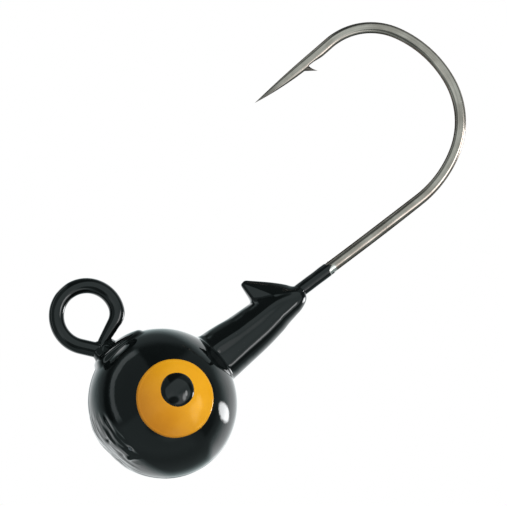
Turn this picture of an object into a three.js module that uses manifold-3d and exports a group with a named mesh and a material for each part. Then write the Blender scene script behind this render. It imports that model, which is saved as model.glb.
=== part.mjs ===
// A quarter-ounce jig head: a 90-degree jig hook with a round lead head cast about its neck, a
// barbed keeper collar behind the ball, a skin of gloss paint, and a painted eye on each side.
//
// Millimetres. +Z is up the stem, towards the line tie. +X runs back along the shank to the bend.
// The hook lies in the plane Y = 0, and the origin is the centre of the line tie's ring.
import * as THREE from "three";
import { mergeVertices } from "three/addons/utils/BufferGeometryUtils.js";
import Module from "manifold-3d";

const wasm = await Module();
wasm.setup();
const { degToRad, lerp, smoothstep } = THREE.MathUtils;

// ---- Driving dimensions ----

const wire = { radius: 0.43, corners: 12 }; // bare hook wire, and the corners of its section
// Radii round the bend, where the wire is pressed flat, and where the pressing starts and is full,
// measured along the wire from the start of the bend
const forged = { inPlane: 0.41, across: 0.37, from: 3, full: 10 };
const ring = { radius: 2.16, lean: 40.5 }; // line tie's centreline, and the lean of its nose side
const stem = { x: -0.54, kink: 1.0 }; // its place, and the bend radius that leans it into the ring
const shank = { z: -7.48, neck: 1.3, straightTo: 17.46 }; // axis, neck bend, start of the bend
const closing = { taper: 2.2, tip: 0.25 }; // the wire's cut end, dressed thinner on its underside
const point = { taper: 5.5, tip: 0.02 }; // needle point
// Barb sliced from the wire: its root's distance from the point, and how deep it sits in the wire
const hookBarb = { root: 4.0, length: 0.85, lift: 0.5, tail: 0.3, halfWidth: 0.3, sunk: 0.15 };

// Lead, without its paint; its nose half is a little short
const ball = { radius: 5.18, x: 0.53, z: -8.02, noseLength: 0.974 };
const land = { x: -0.2, foot: 4.5, top: 5.15, footRadius: 1.8, topRadius: 1.4 }; // flat round the stem
const nub = { x: -0.96, foot: 4.0, top: 5.49, radius: 0.77 }; // lead drawn up the stem
// Clipped sprue on the nose: from the ball's centre to its face, degrees below level, and the side of
// the block that cuts it
const gate = { distance: 4.62, dip: 10, block: 4 };

const coat = 0.11; // paint on the lead and the line tie
const sleeve = { thickness: 0.055, from: 12, to: 15.8 }; // paint drawn out along the shank
const iris = { radius: 2.83, thickness: 0.1, back: 1.6, up: -3.1 }; // placed in degrees from the side
const pupil = { radius: 1.2, height: 0.36, back: 5.5, up: 1.8 };
const crotch = { radius: 0.52, x: -0.52, z: -2.3 }; // blob of paint where the cut end meets the stem
const gap = 0.02; // clearance between neighbouring solids

// Segments round each kind of round solid, and from pole to pole on a ball
const segments = {
  ball: [36, 18],
  drop: [24, 12],
  blob: [16, 8],
  land: 24,
  nub: 16,
  iris: 40,
};

// Rows of [length, turn in degrees]; a turn to the left is positive.
// The ring's tail side, from its top down to the cut end that closes on the stem
const closingRows = [
  [ring.radius * degToRad(105), -105],
  [1.54 * degToRad(48), -48],
  [1.45, 0],
];
// The hook's bend and point, from the end of the straight shank
const bendRows = [
  [6.47, 1.2],
  [4.42, 30.95],
  [5.1, 50.5],
  [5.0, 37],
  [5.24, 65],
  [6.78, -5.5],
];

// Collar behind the ball: distance back from the ball's centre, height of the section's centre above
// it, radius, and half width across the side flats
const collarRows = [
  [4.3, 0.3, 1.77, 1.5],
  [5.1, 0.3, 1.77, 1.49],
  [6.3, 0.32, 1.67, 1.44],
  [7.1, 0.32, 1.57, 1.39],
  [8.5, 0.37, 1.45, 1.3],
  [9.95, 0.47, 1.31, 1.18],
  [10.65, 0.47, 1.17, 1.04],
  [11.4, 0.4, 0.96, 0.88],
  [12.1, 0.33, 0.78, 0.75],
  [12.55, 0.42, 0.56, 0.56],
];
const collarCorners = 16;
// Keeper barb on the collar: distance back, height of its foot and crest, half width at the foot
const keeperRows = [
  [9.52, 0.7, 2.7, 1.08],
  [9.85, 0.7, 3.24, 1.04],
  [12.35, 0.5, 0.95, 0.35],
];
const keeperCrest = 0.07; // half width

// ---- Solids ----

function solid(geometry) {
  for (const name of ["normal", "uv"]) geometry.deleteAttribute(name);
  const merged = mergeVertices(geometry, 1e-4);
  const vertProperties = merged.attributes.position.array;
  const triVerts = new Uint32Array(merged.index.array);
  return new wasm.Manifold(new wasm.Mesh({ numProp: 3, vertProperties, triVerts }));
}

function geometryOf(manifold) {
  const mesh = manifold.getMesh();
  const geometry = new THREE.BufferGeometry();
  geometry.setAttribute("position", new THREE.BufferAttribute(mesh.vertProperties, 3));
  geometry.setIndex(new THREE.BufferAttribute(mesh.triVerts, 1));
  geometry.computeVertexNormals();
  return geometry;
}

// A closed skin over sections with equal numbers of corners, which go round from up to +Y when
// looking along +X, the way the sections follow each other
function loft(sections) {
  const count = sections[0].length;
  const index = [];
  for (let i = 0; i + 1 < sections.length; i++) {
    for (let j = 0; j < count; j++) {
      const a = i * count + j;
      const b = i * count + ((j + 1) % count);
      index.push(a, a + count, b + count, a, b + count, b);
    }
  }
  const last = (sections.length - 1) * count;
  for (let j = 1; j + 1 < count; j++) {
    index.push(0, j, j + 1, last, last + j + 1, last + j);
  }
  const geometry = new THREE.BufferGeometry();
  geometry.setAttribute("position", new THREE.Float32BufferAttribute(sections.flat(2), 3));
  geometry.setIndex(index);
  return solid(geometry);
}

// ---- The wire's route ----

// Stations along rows of [length, turn] in the hook's plane, one for every turnStep degrees of turn
// and every longest of length
function walk(start, rows, turnStep = 8, longest = 1.6) {
  const stations = [start];
  let { x, z, heading } = start;
  for (const [length, turn] of rows) {
    const steps = Math.ceil(Math.max(Math.abs(turn) / turnStep, length / longest));
    const half = degToRad(turn / steps / 2);
    const chord = (length / steps) * (turn ? Math.sin(half) / half : 1);
    for (let i = 0; i < steps; i++) {
      x += chord * Math.cos(heading + half);
      z += chord * Math.sin(heading + half);
      heading += 2 * half;
      stations.push({ x, z, heading });
    }
  }
  return stations;
}

const ringTop = { x: 0, z: ring.radius, heading: Math.PI };
const closingPath = walk({ ...ringTop, heading: 0 }, closingRows)
  .reverse()
  .map(({ x, z, heading }) => ({ x, z, heading: heading + Math.PI }));

// The nose side of the ring leans straight down to a kink, and the stem stands below the kink
const lean = degToRad(ring.lean);
const leanRun = stem.x + ring.radius * Math.cos(lean) - stem.kink * (1 - Math.cos(lean));
const leanLength = leanRun / Math.sin(lean);
const stemTop = -(ring.radius + stem.kink) * Math.sin(lean) - leanLength * Math.cos(lean);
const stemPath = walk(ringTop, [
  [ring.radius * (Math.PI / 2 + lean), 90 + ring.lean],
  [leanLength, 0],
  [stem.kink * lean, -ring.lean],
  [stemTop - shank.z - shank.neck, 0],
]);
const shankPath = walk(stemPath.at(-1), [
  [(shank.neck * Math.PI) / 2, 90],
  [shank.straightTo - stem.x - shank.neck, 0],
]);
const bendPath = walk(shankPath.at(-1), bendRows, 6, 0.8);

// Stations of the whole wire, each with its distance along, its radii, and its centre moved where
// the cut end is dressed on one side only
function wireRoute() {
  const path = [closingPath, stemPath.slice(1), shankPath.slice(1), bendPath.slice(1)].flat();
  const alongs = [0];
  for (let i = 1; i < path.length; i++) {
    alongs.push(alongs[i - 1] + Math.hypot(path[i].x - path[i - 1].x, path[i].z - path[i - 1].z));
  }
  const total = alongs.at(-1);
  const bendStart = total - bendRows.reduce((sum, [length]) => sum + length, 0);
  return path.map(({ x, z, heading }, i) => {
    const dressed = lerp(closing.tip, wire.radius, Math.min(1, alongs[i] / closing.taper));
    const pressed = smoothstep(alongs[i], bendStart + forged.from, bendStart + forged.full);
    const left = Math.max(0, 1 - (total - alongs[i]) / point.taper);
    const needle = 1 - left * left;
    const lift = wire.radius - dressed;
    return {
      x: x - lift * Math.sin(heading),
      z: z + lift * Math.cos(heading),
      heading,
      inPlane: Math.max(point.tip, lerp(dressed, forged.inPlane, pressed) * needle),
      across: Math.max(point.tip, lerp(dressed, forged.across, pressed) * needle),
    };
  });
}

const route = wireRoute();
const topIndex = closingPath.length - 1;
const neckIndex = topIndex + stemPath.length - 1;

// A bar along some of the stations, thicker all round and at its start by grow
function bar(stations, grow) {
  const first = stations[0];
  const start = {
    ...first,
    x: first.x - grow * Math.cos(first.heading),
    z: first.z - grow * Math.sin(first.heading),
  };
  const sections = [start, ...stations.slice(1)].map(({ x, z, heading, inPlane, across }) =>
    Array.from({ length: wire.corners }, (_, j) => {
      const angle = (2 * Math.PI * j) / wire.corners;
      const out = (inPlane + grow) * Math.cos(angle);
      const side = (across + grow) * Math.sin(angle);
      return [x - out * Math.sin(heading), side, z + out * Math.cos(heading)];
    }),
  );
  return loft(sections);
}

// The barb is a sliver lifted from the inner side of the wire, pointing away from the point
function slicedBarb() {
  const tip = route.at(-1);
  const innerZ = tip.z - forged.inPlane;
  const root = tip.x + hookBarb.root;
  const outline = new THREE.Shape([
    new THREE.Vector2(root - hookBarb.tail, innerZ + hookBarb.sunk),
    new THREE.Vector2(root + hookBarb.length, innerZ - hookBarb.lift),
    new THREE.Vector2(root + hookBarb.length - hookBarb.tail, innerZ + hookBarb.sunk),
  ]);
  const depth = 2 * hookBarb.halfWidth;
  const geometry = new THREE.ExtrudeGeometry(outline, { depth, bevelEnabled: false });
  geometry.rotateX(Math.PI / 2);
  geometry.translate(0, hookBarb.halfWidth, 0);
  return solid(geometry);
}

function hook() {
  return bar(route, 0).add(slicedBarb());
}

// ---- The cast head ----

function ballAt(radius) {
  const geometry = new THREE.SphereGeometry(radius, ...segments.ball);
  const place = geometry.attributes.position;
  for (let i = 0; i < place.count; i++) {
    if (place.getX(i) < 0) place.setX(i, ball.noseLength * place.getX(i));
  }
  return solid(geometry.translate(ball.x, 0, ball.z));
}

// An upright cone or cylinder on the ball, between two heights above its centre
function upright(x, foot, top, footRadius, topRadius, corners) {
  const geometry = new THREE.CylinderGeometry(topRadius, footRadius, top - foot, corners);
  geometry.rotateX(Math.PI / 2);
  return solid(geometry.translate(ball.x + x, 0, ball.z + (foot + top) / 2));
}

function collar(grow) {
  const sections = collarRows.map(([back, up, radius, halfWidth], row) => {
    const end = row === collarRows.length - 1 ? grow : 0;
    return Array.from({ length: collarCorners }, (_, j) => {
      const angle = (2 * Math.PI * j) / collarCorners;
      const side = (radius + grow) * Math.sin(angle);
      const flat = THREE.MathUtils.clamp(side, -halfWidth - grow, halfWidth + grow);
      const height = up + (radius + grow) * Math.cos(angle);
      return [ball.x + back + end, flat, ball.z + height];
    });
  });
  return loft(sections);
}

function keeperBarb(grow) {
  const lastRow = keeperRows.length - 1;
  const sections = keeperRows.map(([back, foot, crest, halfWidth], row) => {
    const x = ball.x + back + (row === 0 ? -grow : 0) + (row === lastRow ? grow : 0);
    const top = ball.z + crest + grow;
    const bottom = ball.z + foot;
    return [
      [x, -keeperCrest - grow, top],
      [x, keeperCrest + grow, top],
      [x, halfWidth + grow, bottom],
      [x, -halfWidth - grow, bottom],
    ];
  });
  return loft(sections);
}

// Everything beyond the clipped gate, as a block to cut away
function beyondGate(grow) {
  const geometry = new THREE.BoxGeometry(gate.block, gate.block, gate.block);
  geometry.translate(-gate.distance - grow - gate.block / 2, 0, 0);
  geometry.rotateY(-degToRad(gate.dip));
  return solid(geometry.translate(ball.x, 0, ball.z));
}

// The casting's outside, thicker all round by grow
function castShape(grow) {
  const landRadii = [land.footRadius + grow, land.topRadius + grow];
  const nubRadius = nub.radius + grow;
  return ballAt(ball.radius + grow)
    .add(upright(land.x, land.foot, land.top + grow, ...landRadii, segments.land))
    .add(upright(nub.x, nub.foot, nub.top + grow, nubRadius, nubRadius, segments.nub))
    .add(collar(grow))
    .add(keeperBarb(grow))
    .subtract(beyondGate(grow));
}

function leadHead() {
  return castShape(0).subtract(bar(route, gap));
}

// ---- Paint ----

function headCoat() {
  return castShape(coat).subtract(castShape(gap)).subtract(bar(route, gap));
}

// Paint on the line tie, with a fillet in the crotch where the cut end meets the stem
function lineTieCoat() {
  const tailSide = bar(route.slice(0, topIndex + 2), coat);
  const noseSide = bar(route.slice(topIndex, neckIndex + 1), coat);
  const blob = new THREE.SphereGeometry(crotch.radius, ...segments.blob);
  return tailSide
    .add(noseSide)
    .add(solid(blob.translate(crotch.x, 0, crotch.z)))
    .subtract(bar(route, gap))
    .subtract(castShape(coat + gap));
}

function shankCoat() {
  const stations = [sleeve.from, sleeve.to].map((x) => ({
    x,
    z: shank.z,
    heading: 0,
    inPlane: wire.radius,
    across: wire.radius,
  }));
  return bar(stations, sleeve.thickness)
    .subtract(bar(route, gap))
    .subtract(castShape(coat + gap));
}

// Turns something made on the +Y or -Y axis to its place on that side of the ball
function onSide(geometry, side, place) {
  geometry.rotateX(side * degToRad(place.up));
  geometry.rotateZ(-side * degToRad(place.back));
  return solid(geometry.translate(ball.x, 0, ball.z));
}

const irisOuter = ball.radius + coat + gap + iris.thickness;

function irisSpot(side) {
  const plug = new THREE.CylinderGeometry(iris.radius, iris.radius, ball.radius, segments.iris);
  plug.translate(0, side * ball.radius, 0);
  return onSide(plug, side, iris).intersect(ballAt(irisOuter)).subtract(castShape(coat + gap));
}

function pupilDrop(side) {
  const drop = new THREE.SphereGeometry(pupil.radius, ...segments.drop);
  drop.scale(1, pupil.height / pupil.radius, 1);
  drop.translate(0, side * irisOuter, 0);
  return onSide(drop, side, pupil).subtract(ballAt(irisOuter + gap));
}

// ---- The assembly ----

const finishes = {
  wire: { color: 0x77756f, metalness: 1, roughness: 0.3 },
  lead: { color: 0x6f7275, metalness: 0.8, roughness: 0.6 },
  paint: { color: 0x14181a, metalness: 0, roughness: 0.12 },
  irisPaint: { color: 0xe8a020, metalness: 0, roughness: 0.2 },
  pupilPaint: { color: 0x0c0e0e, metalness: 0, roughness: 0.08 },
};

const left = -1;
const right = 1;
const pieces = [
  ["hook", hook(), finishes.wire],
  ["lead_head", leadHead(), finishes.lead],
  ["head_coat", headCoat(), finishes.paint],
  ["line_tie_coat", lineTieCoat(), finishes.paint],
  ["shank_coat", shankCoat(), finishes.paint],
  ["iris_left", irisSpot(left), finishes.irisPaint],
  ["iris_right", irisSpot(right), finishes.irisPaint],
  ["pupil_left", pupilDrop(left), finishes.pupilPaint],
  ["pupil_right", pupilDrop(right), finishes.pupilPaint],
];

const jigHead = new THREE.Group();
for (const [name, shape, finish] of pieces) {
  const mesh = new THREE.Mesh(geometryOf(shape), new THREE.MeshStandardMaterial(finish));
  mesh.name = name;
  jigHead.add(mesh);
}

export default jigHead;
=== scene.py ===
import math

import bpy
import numpy as np
from mathutils import Matrix, Vector


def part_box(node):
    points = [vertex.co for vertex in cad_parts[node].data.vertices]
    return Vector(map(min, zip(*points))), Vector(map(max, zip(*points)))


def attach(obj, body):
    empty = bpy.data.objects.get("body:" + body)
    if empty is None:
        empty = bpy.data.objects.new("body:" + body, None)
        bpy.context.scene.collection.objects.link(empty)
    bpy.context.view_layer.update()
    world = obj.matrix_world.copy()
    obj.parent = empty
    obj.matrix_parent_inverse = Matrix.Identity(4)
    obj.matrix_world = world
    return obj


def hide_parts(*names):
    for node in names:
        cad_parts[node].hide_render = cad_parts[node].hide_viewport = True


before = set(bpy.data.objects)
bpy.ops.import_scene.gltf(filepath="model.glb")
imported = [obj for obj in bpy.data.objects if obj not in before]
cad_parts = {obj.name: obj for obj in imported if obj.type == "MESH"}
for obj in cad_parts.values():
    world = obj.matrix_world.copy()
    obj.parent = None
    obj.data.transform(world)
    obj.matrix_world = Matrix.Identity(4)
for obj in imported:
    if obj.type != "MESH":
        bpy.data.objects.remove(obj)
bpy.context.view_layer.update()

# Lengths are millimetres until a mesh is made, and places are in the frame of the CAD model:
# the line tie's ring is centred on the origin, +Z is up the stem and +X is back along the shank.
MM = 0.001
TAU = 2 * math.pi

# ---- Sizes read from the frame ----


def box_mm(node):
    """Lowest and highest corners of a CAD node, in millimetres."""
    low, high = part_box(node)
    return np.array(low) / MM, np.array(high) / MM


coat_low, coat_high = box_mm("head_coat")
_, ring_high = box_mm("line_tie_coat")
sleeve_low, sleeve_high = box_mm("shank_coat")
_, hook_high = box_mm("hook")

COLLAR_END = 12.66  # from the ball's centre back to the end of the collar
MARGIN = 0.005  # how far the ball's paint keeps inside its CAD box
BALL_RADIUS = (coat_high[1] - coat_low[1]) / 2 - MARGIN
BALL = np.array([coat_high[0] - COLLAR_END, 0.0, coat_low[2] + BALL_RADIUS + MARGIN])
WIRE_RADIUS = hook_high[1]
PAINT = 0.11  # thickness on the lead and on the line tie
RING_RADIUS = ring_high[2] - WIRE_RADIUS - PAINT
SHANK_Z = (sleeve_low[2] + sleeve_high[2]) / 2

# ---- Small helpers ----


def smooth(low, high, value):
    """0 below low, 1 above high, and 3t^2 - 2t^3 between them."""
    t = np.clip((value - low) / (high - low), 0, 1)
    return t * t * (3 - 2 * t)


def soft_max(a, b, radius):
    """The larger of two heights, plus a cubic hump of a quarter of the radius at their crossing,
    which fades out where they differ by one and a half radii."""
    reach = 1.5 * radius
    near = np.clip(1 - np.abs(a - b) / reach, 0, 1)
    return np.maximum(a, b) + reach * near**3 / 6


def soft_min(a, b, radius):
    """The smaller of two heights, with their crossing rounded over radius."""
    return -soft_max(-a, -b, radius)


def through(points, at):
    """A curve through (place, value) points: cubic Hermite pieces whose slope at a point is the
    mean of its neighbours' slopes, weighted so that the curve does not overshoot."""
    xs, ys = np.array(points, float).T
    slope = np.diff(ys) / np.diff(xs)
    flat = np.zeros(len(xs))
    product = slope[:-1] * slope[1:]
    same = product > 0
    flat[1:-1][same] = 2 * product[same] / (slope[:-1] + slope[1:])[same]
    flat[0], flat[-1] = slope[0], slope[-1]
    i = np.clip(np.searchsorted(xs, at) - 1, 0, len(xs) - 2)
    span = xs[i + 1] - xs[i]
    t = np.clip((at - xs[i]) / span, 0, 1)
    return (
        ys[i] * (1 + 2 * t) * (1 - t) ** 2
        + flat[i] * span * t * (1 - t) ** 2
        + ys[i + 1] * t * t * (3 - 2 * t)
        + flat[i + 1] * span * t * t * (t - 1)
    )


def ripple(points, size, seed, octaves=3):
    """Smooth solid noise between about -1 and 1: sums of sines along seeded random directions,
    each octave with half the wavelength and half the height of the one before."""
    rng = np.random.default_rng(seed)
    total = np.zeros(points.shape[:-1])
    for octave in range(octaves):
        for _ in range(5):
            direction = rng.normal(size=3)
            direction *= TAU / size * 2**octave / np.linalg.norm(direction)
            total += np.sin(points @ direction + rng.uniform(0, TAU)) / 2**octave
    return total / 5


def grid_quads(rows, count):
    """Quads between neighbouring rows of a grid of points that joins up round each row."""
    i, j = np.meshgrid(np.arange(rows - 1), np.arange(count), indexing="ij")
    k = (j + 1) % count
    quads = np.stack([i * count + j, (i + 1) * count + j, (i + 1) * count + k, i * count + k], -1)
    return quads.reshape(-1, 4)


def grid_object(name, grid, uv=None):
    """A closed mesh over a grid of points, shape (along, round, 3), which joins up round its
    second direction and is closed at each end by a fan to the end row's mean. Faces are turned
    outwards by the sign of the enclosed volume."""
    rows, count = grid.shape[:2]
    points = np.vstack([grid.reshape(-1, 3), grid[0].mean(0), grid[-1].mean(0)])
    quads = grid_quads(rows, count)
    a = np.arange(count)
    b = (a + 1) % count
    start, end = rows * count, rows * count + 1
    tail = (rows - 1) * count
    fans = np.vstack([
        np.stack([np.full(count, start), a, b], -1),
        np.stack([np.full(count, end), tail + b, tail + a], -1),
    ])
    loose = np.vstack([quads[:, [0, 1, 2]], quads[:, [0, 2, 3]], fans])
    p, q, r = (points[loose[:, n]] for n in range(3))
    if np.einsum("ij,ij->i", p, np.cross(q, r)).sum() < 0:
        quads, fans = quads[:, ::-1], fans[:, ::-1]
    return mesh_object(name, points, [quads, fans], uv)


def mesh_object(name, points, face_sets, uv=None):
    """A smooth-shaded object from points in millimetres and arrays of faces of equal size."""
    mesh = bpy.data.meshes.new(name)
    sizes = np.concatenate([np.full(len(f), f.shape[1]) for f in face_sets])
    corners = np.concatenate([f.ravel() for f in face_sets]).astype(np.int32)
    mesh.vertices.add(len(points))
    mesh.vertices.foreach_set("co", (points * MM).ravel())
    mesh.loops.add(len(corners))
    mesh.loops.foreach_set("vertex_index", corners)
    mesh.polygons.add(len(sizes))
    mesh.polygons.foreach_set("loop_start", np.concatenate([[0], np.cumsum(sizes)[:-1]]))
    mesh.polygons.foreach_set("use_smooth", np.ones(len(sizes), bool))
    if uv is not None:
        layer = mesh.uv_layers.new(name="along_and_round")
        layer.data.foreach_set("uv", uv[corners].ravel())
    mesh.update(calc_edges=True)
    mesh.validate()
    piece = bpy.data.objects.new(name, mesh)
    bpy.context.scene.collection.objects.link(piece)
    return piece


# ---- The wire's route, the same rows of [length, turn in degrees] as the CAD model ----

STEM_X = -0.54
LEAN = math.radians(40.5)  # of the ring's straight nose side from upright
KINK = 1.0  # radius of the bend from that side into the stem
NECK_BEND = 1.3  # radius of the bend from the stem into the shank, inside the ball
SHANK_STRAIGHT_TO = 17.46
CLOSING_BEND = 1.54
CLOSING_ROWS = [
    (RING_RADIUS * math.radians(105), -105),
    (CLOSING_BEND * math.radians(48), -48),
    (1.45, 0),
]
BEND_ROWS = [(6.47, 1.2), (4.42, 30.95), (5.1, 50.5), (5.0, 37), (5.24, 65), (6.78, -5.5)]


def walk(x, z, heading, rows, step):
    """Points and headings along rows of (length, turn): the heading grows evenly along each
    row, and the place is the running sum of short chords along the mean heading."""
    lengths, turns = [], []
    for length, turn in rows:
        parts = max(1, round(length / step))
        lengths.append(np.full(parts, length / parts))
        turns.append(np.full(parts, math.radians(turn) / parts))
    lengths, turns = np.concatenate(lengths), np.concatenate(turns)
    after = heading + np.cumsum(turns)
    mean = after - turns / 2
    xs = x + np.concatenate([[0], np.cumsum(lengths * np.cos(mean))])
    zs = z + np.concatenate([[0], np.cumsum(lengths * np.sin(mean))])
    return np.stack([xs, zs], -1), np.concatenate([[heading], after])


def wire_route(step=0.06, run_on=0.0):
    """Centreline of the whole wire, from the cut end that closes on the stem, round the ring,
    down the stem, along the shank and round the bend to the point: its points, their headings,
    their lengths along, and how many come before the ring's top. run_on lengthens the end."""
    back, turned = walk(0, RING_RADIUS, 0, [*CLOSING_ROWS, (run_on + 1e-9, 0)], step)
    closing, closing_heading = back[::-1], turned[::-1] + math.pi
    lean_run = STEM_X + RING_RADIUS * math.cos(LEAN) - KINK * (1 - math.cos(LEAN))
    lean_length = lean_run / math.sin(LEAN)
    stem_top = -(RING_RADIUS + KINK) * math.sin(LEAN) - lean_length * math.cos(LEAN)
    rows = [
        (RING_RADIUS * (math.pi / 2 + LEAN), 90 + math.degrees(LEAN)),
        (lean_length, 0),
        (KINK * LEAN, -math.degrees(LEAN)),
        (stem_top - SHANK_Z - NECK_BEND, 0),
        (NECK_BEND * math.pi / 2, 90),
        (SHANK_STRAIGHT_TO - STEM_X - NECK_BEND, 0),
        *BEND_ROWS,
    ]
    rest, heading = walk(0, RING_RADIUS, math.pi, rows, step)
    points = np.vstack([closing, rest[1:]])
    headings = np.concatenate([closing_heading, heading[1:]])
    along = np.concatenate([[0], np.cumsum(np.linalg.norm(np.diff(points, axis=0), axis=1))])
    return points, headings, along, len(closing)


ROUTE, HEADING, ALONG, _ = wire_route()
WIRE_LENGTH = ALONG[-1]
BEND_START = WIRE_LENGTH - sum(length for length, _ in BEND_ROWS)
CLOSING_TAPER = 2.2  # length of the cut end's dressed stretch, and the radius it falls to
CLOSING_TIP = 0.25
POINT_TAPER = 5.5
FORGED_FROM = BEND_START + 3
FORGED_FULL = BEND_START + 10
FORGED_IN_PLANE = 0.405
FORGED_ACROSS = 0.365


def wire_radii(along):
    """In-plane and across radii: dressed thinner at the cut end, pressed flatter round the
    bend, and falling as 1 - (1 - s/L)^2 over the last stretch L to the point. Also how far the
    dressed end's centre is lifted, which keeps one side of it straight."""
    dressed = CLOSING_TIP + (WIRE_RADIUS - CLOSING_TIP) * np.clip(along / CLOSING_TAPER, 0, 1)
    pressed = smooth(FORGED_FROM, FORGED_FULL, along)
    left = np.clip(1 - (WIRE_LENGTH - along) / POINT_TAPER, 0, 1)
    needle = 1 - left**2
    in_plane = (dressed + (FORGED_IN_PLANE - dressed) * pressed) * needle
    across = (dressed + (FORGED_ACROSS - dressed) * pressed) * needle
    return in_plane, across, WIRE_RADIUS - dressed


# ---- The head's paint: one skin over the ball, the land, the nub, the collar and its barb ----

NOSE_LENGTH = 0.974  # the ball reaches this much of its radius towards the nose
GATE_DIP = math.radians(10)
GATE_FACE = BALL_RADIUS - 0.36  # from the ball's centre to the flat left where the gate was nipped
GATE_EDGE = 0.26  # rounding of the flat's edge
SCAR_FADE = (32, 48)  # the scar fades out between these degrees round from the nose
# dents, a rolled burr, a leaning roll and two troughs in the scar, as (height in the middle,
# degrees round from the nose and up, widths in degrees round and up, degrees back for each up)
SCAR_MARKS = [
    (-0.12, (14.5, 2.5), (2.6, 2.4), 0),
    (-0.14, (31.5, -13.5), (3.0, 3.0), 0),
    (-0.08, (16, -13), (3.5, 5.5), 0),
    (0.08, (22, -19), (3.2, 2.4), 0),
    (0.1, (28, -21.6), (3.4, 6.0), 1.65),
    (-0.11, (30, 14), (2.4, 10), 0),
    (-0.08, (24, 5), (2.2, 8), 0),
]
RIDGE_HEIGHT, RIDGE_WIDTH = 0.03, 0.075
RIDGE_SINK = 0.02  # how much lower the ball is than its radius, to leave room for the ridge
LAND_X = -0.12
LAND_TOP, LAND_RIM, LAND_FLARE = 5.48, 1.74, 0.5
LAND_ACROSS = 0.92  # the land's size across the ball, as a share of its size along it
LAND_APRON = 0.15  # how much more its wall flares across the ball
LAND_DOME = 0.1  # its top falls by this times the square of the distance from its middle
NUB_X, NUB_TOP, NUB_RADIUS = -0.98, 5.8, 0.92
UPRIGHT_FOOT = 3.8  # the land and the nub start this far above the ball's centre, inside it
LAND_EDGE, NUB_EDGE, NUB_FILLET = 0.16, 0.12, 0.14
LAND_FILLET, COLLAR_FILLET, BARB_FILLET = 0.07, 0.3, 0.14
# back from the ball's centre, height of the section's centre, its radius, and its half width
COLLAR_ROWS = [
    (3.8, 0.29, 1.9, 1.67),
    (5.1, 0.29, 1.9, 1.65),
    (6.3, 0.3, 1.81, 1.6),
    (7.1, 0.29, 1.72, 1.55),
    (8.5, 0.33, 1.61, 1.46),
    (9.95, 0.42, 1.46, 1.34),
    (10.65, 0.44, 1.3, 1.2),
    (11.4, 0.38, 1.09, 1.03),
    (12.0, 0.31, 0.89, 0.88),
    (12.4, 0.33, 0.74, 0.74),
    (12.66, 0.36, 0.6, 0.6),
    (12.84, 0.5, 0.48, 0.48),
]
COLLAR_EDGE = 0.13
FLAT_LEAN = 0.3  # above its middle, each flat leans out by this much for each millimetre up
BARB_NOSE, BARB_TOP, BARB_FOOT = 9.47, 3.42, 0.4
BARB_CREST = [(9.9, 3.5), (12.1, 1.49), (12.6, 0.8)]
CREST_HALF_WIDTH = 0.08
CREST_COSINE = 0.73  # of the angle between the crest's line and level
CREST_EDGE, FLANK_EDGE, BARB_NOSE_EDGE = 0.1, 0.05, 0.28
# Half widths of the barb's side, of the chamfer above it and of the skirt that keeps it to the
# collar's flats, as (at the nose's shoulder, more for each millimetre back, less for each up)
SHOULDER = (9.98, 2.94)
SIDE_PLANE = (0.42, 0.2, 0.25)
SKIRT_PLANE = (1.16, -0.2, 0.0)
CHAMFER_PLANE = (0.41, -0.53, 0.67)


def turn_from_nose(p):
    """Degrees round from the nose towards -Y, and degrees up, of places about the ball."""
    across = np.degrees(np.arctan2(-p[..., 1], -p[..., 0]))
    up = np.degrees(np.arctan2(p[..., 2], np.hypot(p[..., 0], p[..., 1])))
    return across, up


def scar_mark(across, up, height, at, width, lean):
    """Height of one mark: its own height times exp(-d^2), where d is the distance from its
    middle, measured in widths along and across its leaning line."""
    leaning = across - at[0] + lean * (up - at[1])
    return height * np.exp(-(leaning / width[0]) ** 2 - ((up - at[1]) / width[1]) ** 2)


def gate_scar(p):
    """Height of the nipped gate's scar: two scales of ripple, the larger drawn out upright, plus
    the marks, all fading out round from the nose."""
    across, up = turn_from_nose(p)
    fade = 1 - smooth(*SCAR_FADE, np.hypot(across, (up + 3) * 1.35))
    streaks = ripple(p * [1, 1.6, 0.55], 1.9, 3) * 0.045 + ripple(p, 0.75, 8, 2) * 0.012
    marks = sum(scar_mark(across, up, *mark) for mark in SCAR_MARKS)
    return fade * (streaks + marks)


def parting_ridge(p):
    """Height of the mould's parting line on the ball: a bead in the plane Y = 0, uneven along
    its length, and a faint step between the two halves."""
    uneven = 0.75 + 0.25 * ripple(p, 2.6, 21, 2)
    bead = RIDGE_HEIGHT * uneven * np.exp(-((p[..., 1] / RIDGE_WIDTH) ** 2))
    return bead + 0.008 * np.tanh(p[..., 1] / 0.05)


def ball_field(p):
    """Distance outside the ball, whose nose half is a little short, cut off flat where the gate
    was, with its scar and ridge."""
    nose_x = np.where(p[..., 0] < 0, p[..., 0] / NOSE_LENGTH, p[..., 0])
    radius = np.sqrt(nose_x**2 + p[..., 1] ** 2 + p[..., 2] ** 2)
    ball = radius - BALL_RADIUS - parting_ridge(p) + RIDGE_SINK
    nose = -p[..., 0] * math.cos(GATE_DIP) - p[..., 2] * math.sin(GATE_DIP) - GATE_FACE
    return soft_max(ball, nose, GATE_EDGE) - gate_scar(p)


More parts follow.
